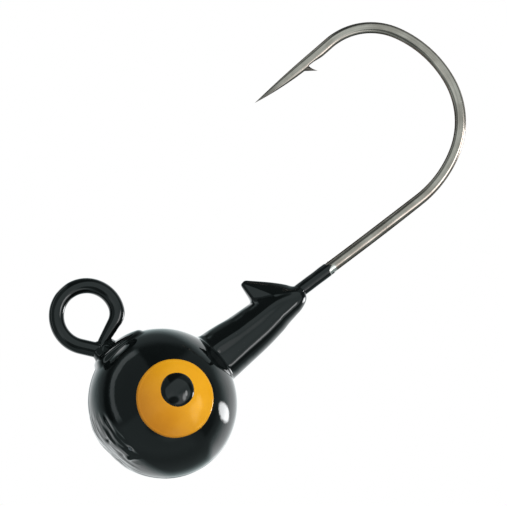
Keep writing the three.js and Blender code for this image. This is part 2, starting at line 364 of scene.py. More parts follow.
def land_field(p):
    """Distance outside the low land under the stem, whose plan is a superellipse of power 3 and
    whose top is faintly domed, and the nub that the stem leaves by."""
    along, across = np.abs(p[..., 0] - LAND_X), np.abs(p[..., 1]) / LAND_ACROSS
    out = (along**3 + across**3) ** (1 / 3)
    flare = LAND_FLARE + LAND_APRON * across**2 / (along**2 + across**2 + 1e-9)
    wall = (out - LAND_RIM - flare * (LAND_TOP - p[..., 2])) / np.hypot(1, flare)
    top = p[..., 2] - LAND_TOP + LAND_DOME * np.clip(out, 0, 2.5) ** 2
    land = soft_max(wall, top, LAND_EDGE)
    nub_wall = np.hypot(p[..., 0] - NUB_X, p[..., 1]) - NUB_RADIUS
    nub = soft_max(nub_wall, p[..., 2] - NUB_TOP, NUB_EDGE)
    return np.maximum(soft_min(land, nub, NUB_FILLET), UPRIGHT_FOOT - p[..., 2])


def collar_field(p):
    """Distance outside the collar: a round section pressed to a half width at both sides. Each
    flat leans out above its middle, by a ramp (h + sqrt(h^2 + 0.03)) / 2 of the height h that
    starts softly, so that the round shoulder over it starts lower."""
    x = p[..., 0]
    centre, radius, half = (
        through([(row[0], row[n]) for row in COLLAR_ROWS], x) for n in (1, 2, 3)
    )
    up = p[..., 2] - centre
    round_part = np.hypot(p[..., 1], up) - radius
    lean = FLAT_LEAN / 2 * (up + np.sqrt(up**2 + 0.03) - 0.17)
    pressed = soft_max(round_part, np.abs(p[..., 1]) - half - lean, COLLAR_EDGE)
    return np.maximum(pressed, COLLAR_ROWS[0][0] - x)


def barb_field(p):
    """Distance outside the bait-keeper barb: a narrow crest that falls from a blunt nose, with
    sides that are each a bevel, a chamfer and a flank, flaring back and down to the collar."""
    x, y, z = p[..., 0], np.abs(p[..., 1]), p[..., 2]
    crest = through(BARB_CREST, x)
    body = soft_max((z - crest) * CREST_COSINE, z - BARB_TOP, CREST_EDGE)
    body = soft_max(body, (y - CREST_HALF_WIDTH + (z - crest)) * 0.7, 0.06)
    for width, back, up in (CHAMFER_PLANE, SIDE_PLANE, SKIRT_PLANE):
        flank = y - width - back * (x - SHOULDER[0]) + up * (z - SHOULDER[1])
        body = soft_max(body, flank / math.hypot(1, back, up), FLANK_EDGE)
    nose = soft_max(body, BARB_NOSE - x + 0.05 * (z - 2.4), BARB_NOSE_EDGE)
    return np.maximum(nose, BARB_FOOT - z)


def head_field(p):
    """The ball, land, collar and barb joined with painted-over fillets: the barb's is as full as
    the collar's at its nose and thinner behind it."""
    body = soft_min(ball_field(p), land_field(p), LAND_FILLET)
    behind_nose = smooth(9.6, 10.1, p[..., 0])
    fillet = COLLAR_FILLET - (COLLAR_FILLET - BARB_FILLET) * behind_nose
    tail = soft_min(collar_field(p), barb_field(p), fillet)
    return soft_min(body, tail, COLLAR_FILLET)


def cast(field, origin, direction, longest, rounds=26):
    """Places where rays from inside a field come out of it, by halving the span each round."""
    low = np.zeros(origin.shape[:-1])
    high = np.full(origin.shape[:-1], longest)
    for _ in range(rounds):
        middle = (low + high) / 2
        inside = field(origin + direction * middle[..., None]) < 0
        low = np.where(inside, middle, low)
        high = np.where(inside, high, middle)
    return origin + direction * low[..., None]


# where the collar's sections stand, as (first place back, last, how many)
COLLAR_SECTIONS = [
    (4.2, 5.25, 45),
    (5.3, 9.25, 32),
    (9.3, 9.66, 17),
    (9.72, 12.3, 33),
    (12.34, 12.84, 12),
]
# how high the axis that the rays leave stands, as (place back, height)
AXIS_ROUTE = [(0, 0), (3.6, 0), (5, 0.35), (12, 0.45), (13, 0.54)]
LONGEST_RAY = 6.5


def head_paint():
    """Rays cast to the head's field. Ahead of the ball's centre they fan out from it, from the
    nose round to upright; behind it they leave the collar's axis square, at places back that
    crowd together at the fillet, at the barb's nose and at the collar's end."""
    count = 312
    even = np.arange(count) * TAU / count
    angle = even + 0.175 * np.sin(2 * even)
    fan = np.radians(np.linspace(179.6, 90.9, 110))
    ball_backs = BALL_RADIUS * np.sin(np.radians(np.linspace(0, 52, 62)))
    collar_backs = [np.linspace(*section) for section in COLLAR_SECTIONS]
    backs = np.concatenate([ball_backs, *collar_backs])
    rows = len(fan) + len(backs)
    origin = np.zeros((rows, count, 3))
    origin[len(fan):, :, 0] = backs[:, None]
    origin[len(fan):, :, 2] = through(AXIS_ROUTE, backs)[:, None]
    lean = np.concatenate([fan, np.full(len(backs), math.pi / 2)])[:, None]
    direction = np.stack([
        np.cos(lean) * np.ones_like(angle),
        np.sin(lean) * np.cos(angle),
        np.sin(lean) * np.sin(angle),
    ], -1)
    skin = cast(head_field, origin, direction, LONGEST_RAY)
    return grid_object("head_paint", skin + BALL)


# ---- The line tie's paint ----

# The cut end's coat runs on into the stem, so that paint fills the crotch between them
RUN_ON = 0.62
TIE_ROUTE, TIE_HEADING, TIE_ALONG, TIE_TOP = wire_route(run_on=RUN_ON)
TIE_ALONG = TIE_ALONG - RUN_ON
STEM_LENGTH = 9.1  # from the top of the ring to inside the nub
TIE_REACH = 0.95  # the longest ray from the wire's centre out to the coat
CROTCH = np.array([-0.5, 0.0, -2.25])
CROTCH_SIZE = 1.15
THIN_FILLET, CROTCH_FILLET = 0.002, 0.13
# a place on the cut end's underside and the direction that it faces
CUT_FROM = np.array([2.42, 0.0, -1.2])
CUT_FACING = np.array([0.47, 0.0, -0.88])


def tie_line():
    """Centres and radii of the coated ring along its route."""
    in_plane, _, lift = wire_radii(TIE_ALONG)
    centre = np.stack([
        TIE_ROUTE[:, 0] - lift * np.sin(TIE_HEADING),
        0 * lift,
        TIE_ROUTE[:, 1] + lift * np.cos(TIE_HEADING),
    ], -1)
    end = np.searchsorted(TIE_ALONG, TIE_ALONG[TIE_TOP] + STEM_LENGTH)
    return centre[:end], in_plane[:end] + PAINT


TIE_CENTRE, TIE_RADIUS = tie_line()


def run_field(p, run):
    """Distance outside the nearest of a run of closely spaced spheres."""
    best = np.full(p.shape[:-1], 1e9)
    for middle, size in zip(TIE_CENTRE[run], TIE_RADIUS[run]):
        best = np.minimum(best, np.linalg.norm(p - middle, axis=-1) - size)
    return best


def tie_field(p):
    """The two halves of the ring joined: plainly where they carry on from one another at the
    top, and with a thick fillet of paint in the crotch; the cut end's underside is filed
    rough."""
    near = np.exp(-((np.linalg.norm(p - CROTCH, axis=-1) / CROTCH_SIZE) ** 2))
    below = (p - CUT_FROM) @ CUT_FACING
    filed = smooth(-0.25, 0.1, below) * smooth(0.3, 0.8, p[..., 0]) * smooth(3.0, 2.2, p[..., 0])
    rough = ripple(p * [0.7, 1.0, 1.6], 0.5, 5, 2) * 0.035 * filed
    closing = run_field(p, slice(0, TIE_TOP + 1)) + rough
    fillet = THIN_FILLET + CROTCH_FILLET * near
    return soft_min(run_field(p, slice(TIE_TOP, None)), closing, fillet)


def line_tie_paint():
    """The whole ring's coat as one tube along the route: rays cast square to it, from the
    wire's centre out to the joined field."""
    rows = np.arange(2, len(TIE_CENTRE), 2)
    heading = TIE_HEADING[rows][:, None]
    angle = np.arange(56) * TAU / 56
    origin = np.repeat(TIE_CENTRE[rows][:, None], len(angle), 1)
    direction = np.stack([
        -np.cos(angle) * np.sin(heading),
        np.sin(angle) + 0 * heading,
        np.cos(angle) * np.cos(heading),
    ], -1)
    return grid_object("line_tie_paint", cast(tie_field, origin, direction, TIE_REACH, 14))


# ---- The paint sleeve on the shank ----


TONGUE_LENGTH = 0.3
TONGUE_AT, TONGUE_WIDTH = 2.95, 0.33  # radians round the wire


def shank_paint():
    """A thin tube of paint on the shank: its radius falls from the collar's fillet to a film,
    and its end is ragged, each column stopping at its own place back, set by one long tongue
    and by ripples round the wire."""
    count, rows = 96, 130
    start = coat_high[0] - 0.6
    end = sleeve_high[0] - 0.06
    angle = np.arange(count) * TAU / count
    ring = np.stack([0 * angle, np.cos(angle), np.sin(angle)], -1)
    tongue = TONGUE_LENGTH * np.exp(-(((angle - TONGUE_AT) / TONGUE_WIDTH) ** 2))
    ragged = end + tongue + 0.12 * ripple(ring, 1.15, 12, 3)
    t = np.linspace(0, 1, rows)[:, None] ** 0.85
    x = start + (ragged - start) * t
    place = np.stack([x, np.cos(angle) + 0 * x, np.sin(angle) + 0 * x], -1)
    film = 0.058 + 0.006 * ripple(place, 1.6, 4, 2)
    edge = smooth(0, 0.09, ragged - x)
    radius = WIRE_RADIUS - 0.03 + (film + 0.03) * edge
    grid = np.stack([x, radius * np.cos(angle), SHANK_Z + radius * np.sin(angle)], -1)
    return grid_object("shank_paint", grid)


# place back, degrees round the wire, half length, half width in degrees
FLAKES = [
    (15.86, -95, 0.16, 22),
    (16.2, -60, 0.1, 12),
    (15.75, 150, 0.14, 20),
    (16.05, 70, 0.08, 12),
]


def paint_flakes():
    """Small flakes of paint left past the sleeve's end: low domes on the wire, whose height
    falls as sqrt(1 - d^2) from the middle to a wavering outline."""
    flakes = []
    for index, (back, round_at, long, wide) in enumerate(FLAKES):
        t = np.linspace(0.02, 1, 7)[:, None]
        turn = np.arange(26) * TAU / 26
        outline = 1 + 0.22 * np.sin(3 * turn + index) + 0.12 * np.sin(5 * turn + 2 * index)
        x = back + long * t * outline * np.cos(turn)
        angle = np.radians(round_at + wide * t * outline * np.sin(turn))
        radius = WIRE_RADIUS + 0.045 * (1 - t**2) ** 0.5 - 0.02 * t**6
        grid = np.stack([x, radius * np.cos(angle), SHANK_Z + radius * np.sin(angle)], -1)
        flakes.append(grid_object(f"paint_flake_{index + 1}", grid))
    return flakes


# ---- The hook ----


def hook_wire():
    """The wire as sections along the whole route, pressed flat round the bend and falling to
    the needle point, with a shallow notch where the barb was sliced up. Its corners swell by
    cos(4 angle) where it is pressed."""
    in_plane, across, lift = wire_radii(ALONG)
    centre = ROUTE + np.stack([-lift * np.sin(HEADING), lift * np.cos(HEADING)], -1)
    count = 48
    angle = np.arange(count) * TAU / count
    to_tip = (WIRE_LENGTH - ALONG)[:, None]
    notch = smooth(4.5, 4.7, to_tip) * smooth(6.0, 4.9, to_tip) * smooth(0.3, 0.95, np.cos(angle))
    forged = smooth(FORGED_FROM, FORGED_FULL, ALONG)[:, None]
    corner = 1 + 0.035 * forged * np.cos(4 * angle + math.pi)
    out = in_plane[:, None] * np.cos(angle) * corner * (1 - 0.3 * notch)
    side = across[:, None] * np.sin(angle) * corner
    grid = np.stack([
        centre[:, None, 0] - out * np.sin(HEADING)[:, None],
        side,
        centre[:, None, 1] + out * np.cos(HEADING)[:, None],
    ], -1)
    uv_along = np.repeat(ALONG[:, None], count, 1)
    uv_round = np.repeat((np.arange(count) / count)[None], len(ALONG), 0)
    uv = np.stack([uv_along.ravel(), uv_round.ravel()], -1)
    uv = np.vstack([uv, [[0, 0]], [[WIRE_LENGTH, 0]]])
    return grid_object("hook_wire", grid, uv=uv)


# the barb's two edges as curves of three handles, in places from the wire's point
BARB_FRONT = [(3.93, -0.1), (4.4, -0.42), (5.0, -0.83)]
BARB_BACK = [(4.68, -0.08), (4.66, -0.42), (5.0, -0.83)]


def hook_barb():
    """The sliced barb: quadratic Bezier edges run from the wire to one tip, and each section
    between them is an oval whose half thickness falls as (1 - t)^0.7."""
    rows, count = 46, 30
    t = np.linspace(0, 0.995, rows)[:, None]
    handles = np.array([BARB_FRONT, BARB_BACK]) + ROUTE[-1]
    front, back = ((1 - t) ** 2 * a + 2 * t * (1 - t) * b + t * t * c for a, b, c in handles)
    angle = np.arange(count) * TAU / count
    middle, half = (front + back) / 2, (back - front) / 2
    thick = 0.25 * (1 - t) ** 0.7
    return grid_object("hook_barb", np.stack([
        middle[:, :1] + half[:, :1] * np.cos(angle),
        thick * np.sin(angle),
        middle[:, 1:] + half[:, 1:] * np.cos(angle),
    ], -1))


# ---- The eyes ----

IRIS_RADIUS = 2.86
IRIS_FACE = coat_high[1] + 0.115  # from the ball's centre, as is the pupil's crown
IRIS_RIM = 0.955  # share of the iris's radius at which its rim starts to roll over
PUPIL_RADIUS = 1.19
PUPIL_CROWN = coat_high[1] + 0.43


def eye_frame(node, side):
    """The outward direction of an eye disc's middle, from the ball's centre through the middle
    of its node's box, and two directions square to it."""
    low, high = box_mm(node)
    out = (low + high) / 2 - BALL
    out[1] = side * math.sqrt(BALL_RADIUS**2 - out[0] ** 2 - out[2] ** 2)
    out /= np.linalg.norm(out)
    right = np.cross([0, 0, 1.0], out)
    right /= np.linalg.norm(right)
    return out, right, np.cross(out, right)


def on_ball(eye, along, around, height):
    """Places at an arc distance from the eye's middle, an angle round it, and a height from the
    ball's centre: a polar cap on a sphere whose radius is that height."""
    out, right, up = eye
    tilt = along[..., None] / BALL_RADIUS
    sideways = np.cos(around)[..., None] * right + np.sin(around)[..., None] * up
    return BALL + height[..., None] * (np.cos(tilt) * out + np.sin(tilt) * sideways)


def cap(name, eye, outline, face, foot, count=160, rows=46):
    """A closed cap: rows run out over its face to the outline and back beneath it. face and
    foot give heights for a share of the outline and an angle round."""
    around = np.arange(count)[None] * TAU / count
    share = 1 - (1 - np.linspace(0.012, 1, rows)[:, None]) ** 1.7
    over = on_ball(eye, outline(around) * share, around + 0 * share, face(share, around))
    under = on_ball(eye, outline(around) * share[::-1], around + 0 * share, foot + 0 * share * around)
    return grid_object(name, np.vstack([over, under]))


def iris(side, name):
    """A disc of paint printed on the ball: an even film with a slight swell at its rim, which
    rolls over a quarter oval, and an outline that wanders by a few hundredths."""
    eye = eye_frame(f"iris_{name}", side)

    def outline(around):
        return IRIS_RADIUS * (1 + 0.006 * np.sin(2 * around + 1) + 0.003 * np.sin(7 * around + side))

    def face(share, around):
        rim = np.clip((share - IRIS_RIM) / (1 - IRIS_RIM), 0, 1)
        swell = 0.012 * np.exp(-(((share - 0.945) / 0.02) ** 2))
        return IRIS_FACE - 0.075 + 0.05 * np.sqrt(1 - rim**2) + swell

    return cap(f"iris_paint_{name}", eye, outline, face, BALL_RADIUS - 0.08)


def pupil(side, name):
    """A drop of black enamel: its height falls from the crown as (1 - d^2)^0.75 to a thin foot,
    with its crown a little off the middle and a wavering outline."""
    eye = eye_frame(f"pupil_{name}", side)

    def outline(around):
        return PUPIL_RADIUS * (1 + 0.012 * np.sin(2 * around + 0.4) + 0.006 * np.sin(5 * around))

    def face(share, around):
        dome = (1 - np.clip(share, 0, 1) ** 2) ** 0.75
        lopsided = 1 + 0.04 * share * np.cos(around - 2)
        return IRIS_FACE - 0.03 + (PUPIL_CROWN - IRIS_FACE) * dome * lopsided

    return cap(f"pupil_drop_{name}", eye, outline, face, BALL_RADIUS + 0.02, rows=40)


# ---- Materials ----


class Nodes:
    """A short way to add and link nodes in one tree."""

    def __init__(self, tree):
        self.tree = tree

    def add(self, kind, inputs=None, **settings):
        """A new node: its settings first, then a link or a value for each input."""
        node = self.tree.nodes.new(kind)
        for key, value in settings.items():
            setattr(node, key, value)
        for key, value in (inputs or {}).items():
            if isinstance(value, bpy.types.NodeSocket):
                self.tree.links.new(value, node.inputs[key])
            else:
                node.inputs[key].default_value = value
        return node

    def math(self, operation, a, b=0.0, c=0.0):
        """One sum on up to three values."""
        return self.add("ShaderNodeMath", {0: a, 1: b, 2: c}, operation=operation).outputs[0]

    def step(self, value, low, high, out_low=0.0, out_high=1.0):
        """A smooth step of value from low to high, between two outputs."""
        return self.add(
            "ShaderNodeMapRange",
            {"Value": value, "From Min": low, "From Max": high, "To Min": out_low, "To Max": out_high},
            interpolation_type="SMOOTHSTEP",
        ).outputs[0]

    def noise(self, vector, scale, detail=3.0, roughness=0.5):
        """Fractal noise at a scale per metre, from about 0 to 1."""
        return self.add(
            "ShaderNodeTexNoise",
            {"Vector": vector, "Scale": scale, "Detail": detail, "Roughness": roughness},
        ).outputs["Fac"]

    def mix(self, factor, a, b):
        """Colour a at factor 0 and colour b at factor 1."""
        return self.add("ShaderNodeMix", {0: factor, 6: a, 7: b}, data_type="RGBA").outputs[2]


def linear(value):
    """A display value of 0 to 255 made scene-linear by the sRGB curve."""
    share = value / 255
    return ((share + 0.055) / 1.055) ** 2.4 if value > 10 else share / 12.92


def colour(red, green, blue):
    """Scene-linear colour from display values of 0 to 255."""
    return linear(red), linear(green), linear(blue), 1


def group(name, inputs, outputs):
    """An empty shader node group, with (name, kind, default) inputs and (name, kind) outputs."""
    tree = bpy.data.node_groups.new(name, "ShaderNodeTree")
    for label, kind, default in inputs:
        socket = tree.interface.new_socket(label, in_out="INPUT", socket_type=kind)
        if default is not None:
            socket.default_value = default
    for label, kind in outputs:
        tree.interface.new_socket(label, in_out="OUTPUT", socket_type=kind)
    n = Nodes(tree)
    return tree, n, n.add("NodeGroupInput"), n.add("NodeGroupOutput")


NUMBER, COLOUR, VECTOR = "NodeSocketFloat", "NodeSocketColor", "NodeSocketVector"


def cloudy_colour():
    """Group: two colours mixed by soft clouds of a given scale, with a contrast."""
    tree, n, inp, out = group(
        "cloudy_colour",
        [("Place", VECTOR, None), ("One", COLOUR, None), ("Other", COLOUR, None),
         ("Scale", NUMBER, 400.0), ("Contrast", NUMBER, 0.25)],
        [("Colour", COLOUR), ("Mask", NUMBER)],
    )
    cloud = n.noise(inp.outputs["Place"], inp.outputs["Scale"], 4.0, 0.55)
    low = n.math("SUBTRACT", 0.5, inp.outputs["Contrast"])
    high = n.math("ADD", 0.5, inp.outputs["Contrast"])
    mask = n.step(cloud, low, high)
    tree.links.new(n.mix(mask, inp.outputs["One"], inp.outputs["Other"]), out.inputs["Colour"])
    tree.links.new(mask, out.inputs["Mask"])
    return tree


def dust_specks():
    """Group: a mask of tiny specks, rare and sharp, from a fine noise thresholded high."""
    tree, n, inp, out = group(
        "dust_specks",
        [("Place", VECTOR, None), ("Scale", NUMBER, 4000.0), ("Amount", NUMBER, 0.3)],
        [("Mask", NUMBER)],
    )
    fine = n.noise(inp.outputs["Place"], inp.outputs["Scale"], 2.0, 0.6)
    edge = n.math("SUBTRACT", 0.8, n.math("MULTIPLY", inp.outputs["Amount"], 0.2))
    high = n.math("ADD", edge, 0.05)
    tree.links.new(n.step(fine, edge, high), out.inputs["Mask"])
    return tree


def dipped_surface():
    """Group: the normal and the roughness of a dipped or printed film: long lazy swells, a fine
    orange peel, and a roughness that drifts a little."""
    tree, n, inp, out = group(
        "dipped_surface",
        [("Place", VECTOR, None), ("Swell", NUMBER, 0.3), ("Peel", NUMBER, 0.1),
         ("Smoothest", NUMBER, 0.03), ("Roughest", NUMBER, 0.08)],
        [("Normal", VECTOR), ("Roughness", NUMBER)],
    )
    swell = n.noise(inp.outputs["Place"], 420.0, 1.0)
    peel = n.noise(inp.outputs["Place"], 3200.0, 2.0)
    first = n.add("ShaderNodeBump", {"Strength": inp.outputs["Swell"], "Distance": 0.00035, "Height": swell})
    second = n.add(
        "ShaderNodeBump",
        {"Strength": inp.outputs["Peel"], "Distance": 0.00003, "Height": peel, "Normal": first.outputs[0]},
    )
    drift = n.step(n.noise(inp.outputs["Place"], 700.0, 3.0), 0.35, 0.7)
    span = n.math("SUBTRACT", inp.outputs["Roughest"], inp.outputs["Smoothest"])
    rough = n.math("MULTIPLY_ADD", drift, span, inp.outputs["Smoothest"])
    tree.links.new(second.outputs[0], out.inputs["Normal"])
    tree.links.new(rough, out.inputs["Roughness"])
    return tree


CLOUDY, SPECKS, DIPPED = cloudy_colour(), dust_specks(), dipped_surface()


def material(name):
    """A new material with its principled shader: the material, its nodes and the shader."""
    made = bpy.data.materials.new(name)
    made.use_nodes = True
    made.node_tree.nodes.clear()
    n = Nodes(made.node_tree)
    shader = n.add("ShaderNodeBsdfPrincipled")
    surface = n.add("ShaderNodeOutputMaterial")
    made.node_tree.links.new(shader.outputs[0], surface.inputs["Surface"])
    return made, n, shader


def place_node(n):
    """The place on the piece, in metres."""
    return n.add("ShaderNodeTexCoord").outputs["Object"]


DUST_SCALE = 9000.0
DUST_COLOUR = colour(150, 150, 146)


def film(name, cloud_values, skin_values, specks=0.2):
    """A glossy paint: clouded colour with dust specks over a dipped surface. The values are for
    the inputs of the cloudy_colour and dipped_surface groups."""
    made, n, shader = material(name)
    links = made.node_tree.links
    place = place_node(n)
    cloud = n.add("ShaderNodeGroup", {}, node_tree=CLOUDY)
    dust = n.add("ShaderNodeGroup", {}, node_tree=SPECKS)
    skin = n.add("ShaderNodeGroup", {}, node_tree=DIPPED)
    dust_values = {"Scale": DUST_SCALE, "Amount": specks}
    for node, values in ((cloud, cloud_values), (dust, dust_values), (skin, skin_values)):
        links.new(place, node.inputs["Place"])
        for key, value in values.items():
            node.inputs[key].default_value = value
    speck = n.math("MULTIPLY", dust.outputs["Mask"], 0.2)
    dusty = n.mix(speck, cloud.outputs["Colour"], DUST_COLOUR)
    links.new(dusty, shader.inputs["Base Color"])
    links.new(skin.outputs["Roughness"], shader.inputs["Roughness"])
    links.new(skin.outputs["Normal"], shader.inputs["Normal"])
    shader.inputs["IOR"].default_value = 1.5
    return made, n, shader, cloud


def black_enamel():
    """Black dip on the head and on the line tie."""
    cloud = {"One": colour(8, 11, 11), "Other": colour(14, 17, 17), "Scale": 500.0, "Contrast": 0.3}
    skin = {"Swell": 0.12, "Peel": 0.12, "Smoothest": 0.02, "Roughest": 0.06}
    return film("black_enamel", cloud, skin)[0]


def pupil_enamel():
    """The blacker, smoother drop of the pupils."""
    cloud = {"One": colour(6, 8, 8), "Other": colour(10, 12, 12), "Scale": 700.0, "Contrast": 0.3}
    skin = {"Swell": 0.1, "Peel": 0.08, "Smoothest": 0.02, "Roughest": 0.05}
    return film("pupil_enamel", cloud, skin, 0.1)[0]


def iris_orange():
    """Orange-yellow print with painted shading: redder and darker towards the nose, lighter towards the
    tail, where the light falls.
    """
    skin = {"Swell": 0.1, "Peel": 0.15, "Smoothest": 0.06, "Roughest": 0.14}
    made, n, shader, cloud = film("iris_orange", {"Scale": 900.0, "Contrast": 0.3}, skin, 0.15)
    # Painted shading: the print's colour runs from a shaded orange at the nose to a lit one at the tail.
    back = n.add("ShaderNodeSeparateXYZ", {0: place_node(n)}).outputs[0]
    painted_light_toward_tail = n.step(back, -0.0022, 0.0022)
    painted_shading_pairs = (("One", (216, 133, 40), (240, 163, 28)), ("Other", (223, 140, 42), (247, 170, 32)))
    for key, dull, bright in painted_shading_pairs:
        made.node_tree.links.new(n.mix(painted_light_toward_tail, colour(*dull), colour(*bright)), cloud.inputs[key])
    shader.inputs["Specular IOR Level"].default_value = 0.25
    shader.inputs["Specular Tint"].default_value = (1.0, 0.84, 0.42, 1)
    return made


def lead():
    """Cast lead, dull and mottled where no paint reaches it."""
    made, n, shader = material("cast_lead")
    place = place_node(n)
    cloud = n.add("ShaderNodeGroup", {}, node_tree=CLOUDY)
    cloud.inputs["One"].default_value = colour(92, 94, 98)
    cloud.inputs["Other"].default_value = colour(142, 144, 148)
    cloud.inputs["Scale"].default_value = 900.0
    made.node_tree.links.new(place, cloud.inputs["Place"])
    made.node_tree.links.new(cloud.outputs["Colour"], shader.inputs["Base Color"])
    rough = n.step(cloud.outputs["Mask"], 0.0, 1.0, 0.45, 0.7)
    made.node_tree.links.new(rough, shader.inputs["Roughness"])
    bump = n.add(
        "ShaderNodeBump", {"Strength": 0.4, "Distance": 0.00004, "Height": n.noise(place, 2600.0, 5.0)}
    )
    made.node_tree.links.new(bump.outputs[0], shader.inputs["Normal"])
    shader.inputs["Metallic"].default_value = 0.85
    return made


def hook_steel():
    """Smoked nickel on drawn wire: fine die lines run along it over a clouded grey, with painted
    shade along its inner and outer edges and its sides left pale, a brown smudge and a
    near-white patch under it just past the paint's end, and dark where the point was ground."""
    made, n, shader = material("smoked_nickel")
    links = made.node_tree.links
    place = place_node(n)
    uv = n.add("ShaderNodeUVMap", uv_map="along_and_round").outputs[0]
    drawn = n.add("ShaderNodeMapping", {"Vector": uv, "Scale": (0.35, 26.0, 1.0)}).outputs[0]
    lines = n.noise(drawn, 1.0, 5.0, 0.6)
    cloud = n.add("ShaderNodeGroup", {}, node_tree=CLOUDY)
    cloud.inputs["One"].default_value = colour(178, 164, 154)
    cloud.inputs["Other"].default_value = colour(214, 200, 190)
    cloud.inputs["Scale"].default_value = 800.0
    links.new(place, cloud.inputs["Place"])
    lined = n.mix(n.step(lines, 0.35, 0.62, 0.3, 0.0), cloud.outputs["Colour"], colour(110, 106, 100))
    # Painted shade: the wire's colour is darkened along its inner and outer edges, standing in for the dark
    # rims of its reflections.
    place_on_wire = n.add("ShaderNodeSeparateXYZ", {0: uv})
    turn = n.math("MULTIPLY", place_on_wire.outputs[1], TAU)
    in_plane = n.math("ABSOLUTE", n.math("COSINE", turn))
    lined = n.mix(n.step(in_plane, 0.66, 0.96, 0.0, 0.85), lined, colour(84, 76, 70))
    ground = n.step(place_on_wire.outputs[0], WIRE_LENGTH - 3, WIRE_LENGTH - 0.8, 0.0, 0.6)
    lined = n.mix(ground, lined, colour(84, 80, 76))
    along = n.add("ShaderNodeSeparateXYZ", {0: place})
    back, height = along.outputs[0], along.outputs[2]
    # A near-white patch on the wire's underside, just past the paint's end.
    end = sleeve_high[0] * MM
    low_side = n.step(height, (SHANK_Z + 0.1) * MM, (SHANK_Z - 0.1) * MM)
    near_white_patch = n.math("MULTIPLY", n.step(back, end + 0.0005, end + 0.0003), low_side)
    smudge = n.math("MULTIPLY", n.step(back, end + 0.0015, end + 0.0009), cloud.outputs["Mask"])
    smudged = n.mix(n.math("MULTIPLY", smudge, 0.5), lined, colour(128, 112, 98))
    links.new(n.mix(near_white_patch, smudged, colour(250, 246, 240)), shader.inputs["Base Color"])
    rough = n.step(lines, 0.3, 0.7, 0.22, 0.12)
    links.new(rough, shader.inputs["Roughness"])
    bump = n.add("ShaderNodeBump", {"Strength": 0.25, "Distance": 0.00002, "Height": lines})
    links.new(bump.outputs[0], shader.inputs["Normal"])
    shader.inputs["Metallic"].default_value = 1.0
    shader.inputs["Specular Tint"].default_value = (0.06, 0.06, 0.06, 1)
    return made


# ---- Pieces ----

enamel, pupil_black, orange, bare_lead, nickel = (
    black_enamel(), pupil_enamel(), iris_orange(), lead(), hook_steel()
)


def finish_piece(piece, node, finish):
    """One piece on the one body, in place of a CAD node and material."""
    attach(piece, "root")
    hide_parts(node)
    piece.data.materials.append(finish)


finish_piece(head_paint(), "head_coat", enamel)
finish_piece(line_tie_paint(), "line_tie_coat", enamel)
finish_piece(shank_paint(), "shank_coat", enamel)
for flake in paint_flakes():
    finish_piece(flake, "shank_coat", enamel)
finish_piece(hook_wire(), "hook", nickel)
finish_piece(hook_barb(), "hook", nickel)
for eye_side, eye_name in ((-1, "left"), (1, "right")):
    finish_piece(iris(eye_side, eye_name), f"iris_{eye_name}", orange)
    finish_piece(pupil(eye_side, eye_name), f"pupil_{eye_name}", pupil_black)

for lead_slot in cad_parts["lead_head"].material_slots:
    lead_slot.material = bare_lead

# ---- Camera ----

AZIMUTH = math.radians(-11)
ROLL = math.radians(36.9)
DISTANCE = 1180.0
SEEN_WIDTH = 35.39
AIM_ALONG, AIM_UP = 11.43, 4.585  # from the ball's centre to the middle of the view
FILM_WIDTH = 36

side_on = np.array([math.cos(AZIMUTH), math.sin(AZIMUTH), 0.0])
to_camera = np.array([math.sin(AZIMUTH), -math.cos(AZIMUTH), 0.0])
upright_z = np.array([0, 0, 1.0])
screen_right = math.cos(ROLL) * side_on - math.sin(ROLL) * upright_z
screen_up = math.sin(ROLL) * side_on + math.cos(ROLL) * upright_z
target = BALL + AIM_ALONG * side_on + AIM_UP * upright_z
camera = bpy.data.objects.new("camera", bpy.data.cameras.new("camera"))
bpy.context.scene.collection.objects.link(camera)
camera.data.sensor_width = FILM_WIDTH
camera.data.lens = FILM_WIDTH * DISTANCE / SEEN_WIDTH
camera.data.clip_start = 0.01
camera.data.clip_end = 10
basis = Matrix(np.array([screen_right, screen_up, to_camera]).T.tolist()).to_4x4()
camera.matrix_world = Matrix.Translation(Vector((target + to_camera * DISTANCE) * MM)) @ basis
bpy.context.scene.camera = camera

# ---- Floor and light ----


FLOOR_RINGS = [30, 120, 300, 620]
FLOOR_MIDDLE = [8, 0, -70.0]


def floor_disc():
    """A pale round sweep under the object: rings of a flat disc, 64 to the turn."""
    rows, count = len(FLOOR_RINGS), 64
    turn = np.arange(count) * TAU / count
    ring = np.stack([np.cos(turn), np.sin(turn), 0 * turn], -1)
    points = np.array(FLOOR_RINGS)[:, None, None] * ring + FLOOR_MIDDLE
    flat = np.vstack([points.reshape(-1, 3), FLOOR_MIDDLE])
    a = np.arange(count)
    fan = np.stack([np.full(count, rows * count), a, (a + 1) % count], -1)
    made, _, shader = material("white_sweep")
    shader.inputs["Base Color"].default_value = (0.93, 0.93, 0.93, 1)
    shader.inputs["Roughness"].default_value = 0.7
    shader.inputs["Emission Color"].default_value = (1, 1, 1, 1)
    shader.inputs["Emission Strength"].default_value = 0.45
    floor = mesh_object("floor", flat, [grid_quads(rows, count), fan])
    floor.data.materials.append(made)
    floor.visible_glossy = False
    floor.visible_diffuse = False


floor_disc()


# Lamps on the tent, as (along, up, half length, half width, lean in degrees, blur, strength)
LAMPS = [
    (0.59, -0.58, 0.14, 0.062, 63, 0.25, 11.0),
    (-0.06, 0.93, 0.16, 0.05, 0, 0.5, 1.3),
    (0.4, -0.27, 0.09, 0.035, 60, 0.4, 5.0),
    (0.28, -0.34, 0.12, 0.05, 55, 0.6, 3.9),
]
STRIP_HUB = (0.05, 0.1)  # the middle of the arc that the strip lamp and its flag follow
STRIP_SPAN = (0.63, 0.692)
FLAG_SPAN = (0.705, 0.785)


